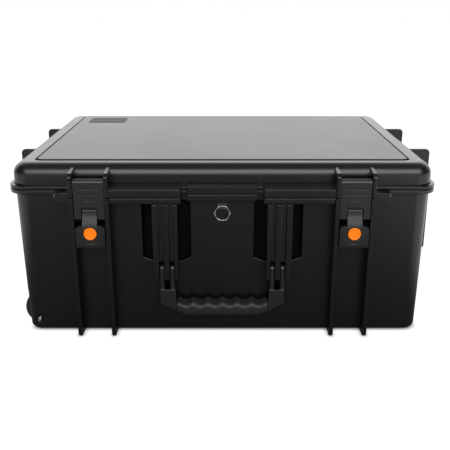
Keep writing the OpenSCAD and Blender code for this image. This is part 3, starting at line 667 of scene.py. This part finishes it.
# Screw head and shank: height over the head's face, radius, and how far the socket's lobes show
SCREW = [(-14, 0, 0), (-14, 1.4, 0), (-2.2, 1.4, 0), (-2.2, 2.6, 0), (-1.6, 3.1, 0), (-0.7, 3.1, 0),
         (-0.2, 2.8, 0), (0, 2.3, 0), (0, 1.75, 0.4), (-0.05, 1.45, 1), (-1.3, 1.3, 1), (-1.4, 0, 0)]


def join(target, extra):
    """Adds one bmesh to another."""
    mesh = bpy.data.meshes.new("part")
    extra.to_mesh(mesh)
    extra.free()
    target.from_mesh(mesh)
    bpy.data.meshes.remove(mesh)


class CASE_OT_valve(bpy.types.Operator):
    """Dress the pressure valve's body and turn its cap"""

    bl_idname = "case.valve"
    bl_label = "Valve"

    def execute(self, context):
        dress("valve_body", MATERIALS["bright"], 0.0004)
        low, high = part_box("valve_cap")
        centre = [(a + b) / 2 for a, b in zip(low, high)]
        r = (high[0] - low[0]) / 2 / MM
        profile = [(-3, 0, 0), (-3, r, 0), (-3, r, 0), (-0.9, r, 0), (-0.7, r - 0.25, 0),
                   (-0.7, r - 0.9, 0), (-0.35, r - 1.1, 0), (-0.1, r - 1.5, 0), (0, r - 2.1, 0),
                   (0, r - 3.4, 0), (-0.3, r - 3.7, 0),
                   (-0.3, r - 4.3, 0), (0, r - 4.6, 0), (0.02, r - 6.5, 0), (0.02, 0, 0)]
        bm = spun(profile, (centre[0], low[1], centre[2]), (0, -1, 0), 72)
        finish_mesh("valve_face", bm, MATERIALS["shell"], "base", ["valve_cap"])
        return {"FINISHED"}


TYRE_BORE = 20.0
TREAD_DEPTH, TREAD_MARGIN = 0.0011, 0.0004


class CASE_OT_wheels(bpy.types.Operator):
    """Dress the hubs and make the treaded tyres"""

    bl_idname = "case.wheels"
    bl_label = "Wheels"

    def execute(self, context):
        sizes = context.scene.case_sizes
        for wheel in ("front_wheel", "rear_wheel"):
            dress(f"{wheel}_hub", MATERIALS["shell"], sizes.fine_edge)
            low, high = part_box(f"{wheel}_tyre")
            centre = [(a + b) / 2 for a, b in zip(low, high)]
            radius = (high[0] - low[0]) / 2 / MM
            half = (high[1] - low[1]) / 2 / MM
            profile = [(-half + 1, TYRE_BORE), (-half + 0.3, TYRE_BORE + 1.5), (-half, radius - 3.2),
                       (-half + 1, radius - 1.9), (-half + 3, radius - 0.8), (-half * 0.5, radius - 0.2),
                       (-1.6, radius), (1.6, radius), (half * 0.5, radius - 0.2), (half - 3, radius - 0.8),
                       (half - 1, radius - 1.9), (half, radius - 3.2), (half - 0.3, TYRE_BORE + 1.5),
                       (half - 1, TYRE_BORE), (-half + 1, TYRE_BORE)]
            bm = spun([(a, r, 0) for a, r in profile], centre, (0, 1, 0), sizes.treads * 2)
            hub = Vector(centre)
            outer = []
            for face in bm.faces:
                mid = face.calc_center_median() - hub
                ring = math.hypot(mid.x, mid.z) / MM
                turn = round(math.atan2(mid.z, mid.x) / math.pi * sizes.treads - 0.5)
                side = 1 if mid.y > 0.002 else -1 if mid.y < -0.002 else 0
                if ring > radius - 1.2 and side and (turn + (side > 0)) % 2:
                    outer.append(face)
            bmesh.ops.inset_region(bm, faces=outer, thickness=TREAD_MARGIN, depth=-TREAD_DEPTH,
                                   use_even_offset=True)
            finish_mesh(f"{wheel}_tread", bm, MATERIALS["tyre"], wheel, [f"{wheel}_tyre"])
        return {"FINISHED"}


class CASE_OT_trolley(bpy.types.Operator):
    """Dress the pull-out handle's bar and button"""

    bl_idname = "case.trolley"
    bl_label = "Pull-out handle"

    def execute(self, context):
        dress("trolley_grip", MATERIALS["latch"], 0.0014)
        dress("trolley_button", MATERIALS["button"], 0.0004)
        dress("trolley_button_spring", MATERIALS["steel"], 0)
        return {"FINISHED"}


# Foam: number and half thickness of the dividers, the rails' slots, and the gap round the tunnel
DIVIDERS, DIVIDER_HALF = 11, 0.007
SLOT_MOUTH, SLOT_HALF, SLOT_DEPTH = 0.0095, 0.0078, 0.003
TUNNEL_GAP = 0.0045
TUNNEL_TOP = 0.0325


class CASE_OT_foam(bpy.types.Operator):
    """Make the foam: waved lid pad, floor pad, slotted rails and divider panels"""

    bl_idname = "case.foam"
    bl_label = "Foam"

    def execute(self, context):
        sizes = context.scene.case_sizes
        foam = MATERIALS["foam"]
        low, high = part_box("lid_foam")
        soft("lid_pad", waved_pad(sizes, low, high), foam, "lid", "lid_foam")
        low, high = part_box("floor_foam")
        tunnel_low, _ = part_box("trolley_cover")
        notch = tunnel_low[0] - TUNNEL_GAP
        half = -tunnel_low[1] + TUNNEL_GAP
        outline = [(low[0], low[1]), (high[0], low[1]), (high[0], -half), (notch, -half), (notch, half),
                   (high[0], half), (high[0], high[1]), (low[0], high[1])]
        pad = prism(outline, low[2], high[2], sizes.foam_edge)
        over_tunnel = rectangle(notch + 0.0005, -half, high[0], half)
        join(pad, prism(over_tunnel, TUNNEL_TOP, high[2], sizes.foam_edge * 0.7))
        soft("floor_pad", pad, foam, "base", "floor_foam")
        d_low, d_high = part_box("laptop_dividers")
        first = d_low[0] + DIVIDER_HALF
        pitch = (d_high[0] - d_low[0] - 2 * DIVIDER_HALF) / (DIVIDERS - 1)
        places = [first + i * pitch for i in range(DIVIDERS)]
        panels = bmesh.new()
        for x in places:
            join(panels, divider(x, d_low, d_high, sizes.foam_edge))
        soft("divider_panels", panels, foam, "base", "laptop_dividers")
        for node, inner in (("front_foam_rail", 1), ("rear_foam_rail", -1)):
            low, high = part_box(node)
            face, back = (high[1], low[1]) if inner > 0 else (low[1], high[1])
            outline = [(low[0], back), (low[0], face)]
            for x in places:
                outline += [(x - SLOT_MOUTH, face), (x - SLOT_HALF, face - inner * SLOT_DEPTH),
                            (x + SLOT_HALF, face - inner * SLOT_DEPTH), (x + SLOT_MOUTH, face)]
            outline += [(high[0], face), (high[0], back)]
            outline = [p for p in outline if low[0] <= p[0] <= high[0]]
            rail = prism(outline, low[2], high[2], 0.0012, 2)
            soft(node.replace("_foam", "_slotted"), rail, foam, "base", node)
        return {"FINISHED"}


def soft(name, bm, material, body, node):
    obj = finish_mesh(name, bm, material, body, [node])
    return obj


def divider(x, low, high, edge):
    """Foam panel with a finger dip in the middle of its top edge."""
    steps, dip_half, dip_depth = 24, 0.06, 0.012
    top = [(low[1], high[2])]
    for i in range(steps + 1):
        y = -dip_half + 2 * dip_half * i / steps
        top.append((y, high[2] - dip_depth * (0.5 + 0.5 * math.cos(math.pi * y / dip_half))))
    top.append((high[1], high[2]))
    outline = [(low[1], low[2])] + top + [(high[1], low[2])]
    bm = bmesh.new()
    face = bm.faces.new([bm.verts.new((x - DIVIDER_HALF, y, z)) for y, z in outline])
    moved = bmesh.ops.extrude_face_region(bm, geom=[face])["geom"]
    bmesh.ops.translate(bm, vec=(2 * DIVIDER_HALF, 0, 0), verts=only_verts(moved))
    bmesh.ops.recalc_face_normals(bm, faces=bm.faces)
    rims = [e for e in bm.edges if abs(e.verts[0].co.x - e.verts[1].co.x) < 1e-6]
    bmesh.ops.bevel(bm, geom=rims, offset=edge, segments=3, profile=0.5, affect="EDGES", material=-1,
                    clamp_overlap=True)
    return bm


def waved_pad(sizes, low, high):
    """Pad with rounded corners and rows of peaks that point down."""
    half_x, half_y, r = high[0], high[1], 0.014
    nx, ny = 176, 124

    def place(u, w):
        x, y = (u * 2 - 1) * half_x, (w * 2 - 1) * half_y
        cx, cy = half_x - r, half_y - r
        if abs(x) > cx and abs(y) > cy:
            gap = Vector((abs(x) - cx, abs(y) - cy))
            reach = max(gap.x, gap.y)
            if gap.length > 0:
                gap = gap.normalized() * reach
            x, y = math.copysign(cx + gap.x, x), math.copysign(cy + gap.y, y)
        inside = min(half_x - abs(x), half_y - abs(y))
        blend = min(max(inside / 0.012, 0), 1)
        turn = 2 * math.pi / sizes.egg_pitch
        wave = 0.5 + 0.5 * math.cos(turn * x) * math.cos(turn * y)
        drop = sizes.egg_depth * wave ** 0.8 * blend ** 0.5
        return Vector((x, y, low[2] + sizes.egg_depth - drop))

    bm = mapped_grid(nx, ny, place, closed=False)
    rim = [e for e in bm.edges if e.is_boundary]
    out = bmesh.ops.extrude_edge_only(bm, edges=rim)["geom"]
    for v in only_verts(out):
        v.co.z = high[2]
    bmesh.ops.holes_fill(bm, edges=[e for e in bm.edges if e.is_boundary], sides=0)
    bmesh.ops.recalc_face_normals(bm, faces=bm.faces)
    return bm


def frame_top(node):
    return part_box(node)[1][2]


class CASE_OT_stage(bpy.types.Operator):
    """Make the camera, the lights, the world and the floor"""

    bl_idname = "case.stage"
    bl_label = "Stage"

    def execute(self, context):
        scene = context.scene
        stage = scene.case_stage
        scene.view_settings.view_transform = "Standard"
        data = bpy.data.cameras.new("Photo camera")
        data.lens = stage.lens
        data.sensor_width = 36
        camera = bpy.data.objects.new("Photo camera", data)
        camera.location = stage.place
        camera.rotation_euler = (math.pi / 2 - stage.pitch, 0, 0)
        scene.collection.objects.link(camera)
        scene.camera = camera
        area_light("Front softbox", (0.3, -3.2, 2.0), (0, 0, 0.15), (4.2, 2.2), stage.softbox)
        floor_spot("Right floor light", (1.0, -1.1, 1.7), (0.62, -0.72, 0), 26, stage.floor_light)
        make_world(scene, stage)
        make_floor(stage)
        return {"FINISHED"}


def smooth_step(tree, value, start, end):
    """0 at start, 1 at end, smooth between."""
    node = tree.nodes.new("ShaderNodeMapRange")
    node.interpolation_type = "SMOOTHSTEP"
    node.inputs["From Min"].default_value = start
    node.inputs["From Max"].default_value = end
    tree.links.new(value, node.inputs["Value"])
    return node.outputs[0]


def area_light(name, place, target, size, power):
    data = bpy.data.lights.new(name, "AREA")
    data.energy = power
    data.shape = "RECTANGLE"
    data.size, data.size_y = size
    obj = bpy.data.objects.new(name, data)
    obj.location = place
    obj.rotation_euler = (Vector(target) - Vector(place)).to_track_quat("-Z", "Y").to_euler()
    bpy.context.scene.collection.objects.link(obj)


def floor_spot(name, place, target, cone, power):
    """Lights a round patch of the floor, which shows in the glossy wall above it."""
    data = bpy.data.lights.new(name, "SPOT")
    data.energy = power
    data.spot_size = math.radians(cone)
    data.spot_blend = 1.0
    data.shadow_soft_size = 0.05
    obj = bpy.data.objects.new(name, data)
    obj.location = place
    obj.rotation_euler = (Vector(target) - Vector(place)).to_track_quat("-Z", "Y").to_euler()
    bpy.context.scene.collection.objects.link(obj)


def make_world(scene, stage):
    """White where the camera sees it; behind the case a bright wall, in front a dim room.

    The limits of each step are the Y or the Z part of a unit direction.
    """
    world = bpy.data.worlds.new("Studio")
    scene.world = world
    world.use_nodes = True
    tree = world.node_tree
    back = tree.nodes["Background"]
    out = tree.nodes["World Output"]
    coords = tree.nodes.new("ShaderNodeTexCoord").outputs["Generated"]
    split = tree.nodes.new("ShaderNodeSeparateXYZ")
    tree.links.new(coords, split.inputs[0])
    behind = smooth_step(tree, split.outputs["Y"], 0.2, 0.6)
    over_floor = smooth_step(tree, split.outputs["Z"], 0.0, 0.1)
    under_top = smooth_step(tree, split.outputs["Z"], 0.9, 0.66)
    wall = maths(tree, "MULTIPLY", maths(tree, "MULTIPLY", behind, over_floor), under_top)
    ceiling = maths(tree, "MULTIPLY", smooth_step(tree, split.outputs["Z"], 0.6, 0.9), stage.ceiling)
    level = maths(tree, "ADD", maths(tree, "MULTIPLY", wall, stage.wall),
                  maths(tree, "ADD", ceiling, stage.room))
    tree.links.new(level, back.inputs["Strength"])
    white = tree.nodes.new("ShaderNodeBackground")
    white.inputs["Strength"].default_value = 1.0
    back.inputs["Color"].default_value = (0.98, 0.985, 0.99, 1)
    white.inputs["Color"].default_value = (1, 1, 1, 1)
    path = tree.nodes.new("ShaderNodeLightPath")
    seen = maths(tree, "MAXIMUM", path.outputs["Is Camera Ray"], path.outputs["Is Transmission Ray"])
    mix = tree.nodes.new("ShaderNodeMixShader")
    tree.links.new(seen, mix.inputs["Fac"])
    tree.links.new(back.outputs[0], mix.inputs[1])
    tree.links.new(white.outputs[0], mix.inputs[2])
    tree.links.new(mix.outputs[0], out.inputs["Surface"])


def make_floor(stage):
    """Pale floor that keeps the case's shadow, with a painted contact shadow where ambient occlusion dims the
    glow the camera sees, and a soft glow at both sides that only the case sees.
    """
    bm = bmesh.new()
    bmesh.ops.create_grid(bm, x_segments=1, y_segments=1, size=12)
    mesh = bpy.data.meshes.new("Floor")
    bm.to_mesh(mesh)
    bm.free()
    floor = bpy.data.objects.new("Floor", mesh)
    bpy.context.scene.collection.objects.link(floor)
    mat = bpy.data.materials.new("White floor")
    mat.use_nodes = True
    tree = mat.node_tree
    shader = tree.nodes["Principled BSDF"]
    shader.inputs["Base Color"].default_value = (stage.floor_tone, stage.floor_tone, stage.floor_tone, 1)
    shader.inputs["Roughness"].default_value = 0.9
    glow = tree.nodes.new("ShaderNodeEmission")
    # Ambient occlusion dims the camera glow next to the case: a painted contact shadow
    painted_contact_shadow = tree.nodes.new("ShaderNodeAmbientOcclusion")
    painted_contact_shadow.samples = 12
    painted_contact_shadow.inputs["Distance"].default_value = 0.008
    tree.links.new(maths(tree, "MULTIPLY", painted_contact_shadow.outputs["AO"], stage.floor_glow), glow.inputs["Strength"])
    path = tree.nodes.new("ShaderNodeLightPath")
    place = tree.nodes.new("ShaderNodeSeparateXYZ")
    tree.links.new(tree.nodes.new("ShaderNodeTexCoord").outputs["Object"], place.inputs[0])
    right, left = (smooth_step(tree, place.outputs["X"], *span) for span in ((0.36, 0.7), (-0.5, -0.8)))
    sides = maths(tree, "ADD", maths(tree, "MULTIPLY", right, stage.right_glow),
                  maths(tree, "MULTIPLY", left, stage.left_glow))
    unseen = maths(tree, "SUBTRACT", 1.0, path.outputs["Is Camera Ray"])
    side_glow = tree.nodes.new("ShaderNodeEmission")
    tree.links.new(maths(tree, "MULTIPLY", sides, unseen), side_glow.inputs["Strength"])
    both = tree.nodes.new("ShaderNodeAddShader")
    tree.links.new(shader.outputs[0], both.inputs[0])
    tree.links.new(side_glow.outputs[0], both.inputs[1])
    share = maths(tree, "MULTIPLY", path.outputs["Is Camera Ray"], stage.glow_share)
    mix = tree.nodes.new("ShaderNodeMixShader")
    tree.links.new(share, mix.inputs["Fac"])
    tree.links.new(both.outputs[0], mix.inputs[1])
    tree.links.new(glow.outputs[0], mix.inputs[2])
    tree.links.new(mix.outputs[0], tree.nodes["Material Output"].inputs["Surface"])
    mesh.materials.append(mat)


class CASE_PT_panel(bpy.types.Panel):
    """Lists the case's settings and build steps"""

    bl_idname = "CASE_PT_panel"
    bl_label = "Hard Case"
    bl_space_type = "VIEW_3D"
    bl_region_type = "UI"
    bl_category = "Hard Case"

    def draw(self, context):
        for group in (context.scene.case_colours, context.scene.case_sizes, context.scene.case_stage):
            box = self.layout.box()
            for name in group.bl_rna.properties.keys():
                if name not in ("rna_type", "name"):
                    box.prop(group, name)
        for step in STEPS:
            self.layout.operator(step.bl_idname)


STEPS = (CASE_OT_stage, CASE_OT_shells, CASE_OT_label, CASE_OT_latches, CASE_OT_handles, CASE_OT_metalwork,
         CASE_OT_valve, CASE_OT_wheels, CASE_OT_trolley, CASE_OT_foam)
CLASSES = (CaseColours, CaseSizes, StageSettings, *STEPS, CASE_PT_panel)


def register():
    for cls in CLASSES:
        bpy.utils.register_class(cls)
    bpy.types.Scene.case_colours = PointerProperty(type=CaseColours)
    bpy.types.Scene.case_sizes = PointerProperty(type=CaseSizes)
    bpy.types.Scene.case_stage = PointerProperty(type=StageSettings)


def unregister():
    del bpy.types.Scene.case_stage
    del bpy.types.Scene.case_sizes
    del bpy.types.Scene.case_colours
    for cls in reversed(CLASSES):
        bpy.utils.unregister_class(cls)


def main():
    register()
    make_materials()
    for step in STEPS:
        family, name = step.bl_idname.split(".")
        getattr(getattr(bpy.ops, family), name)()


if __name__ == "__main__":
    main()
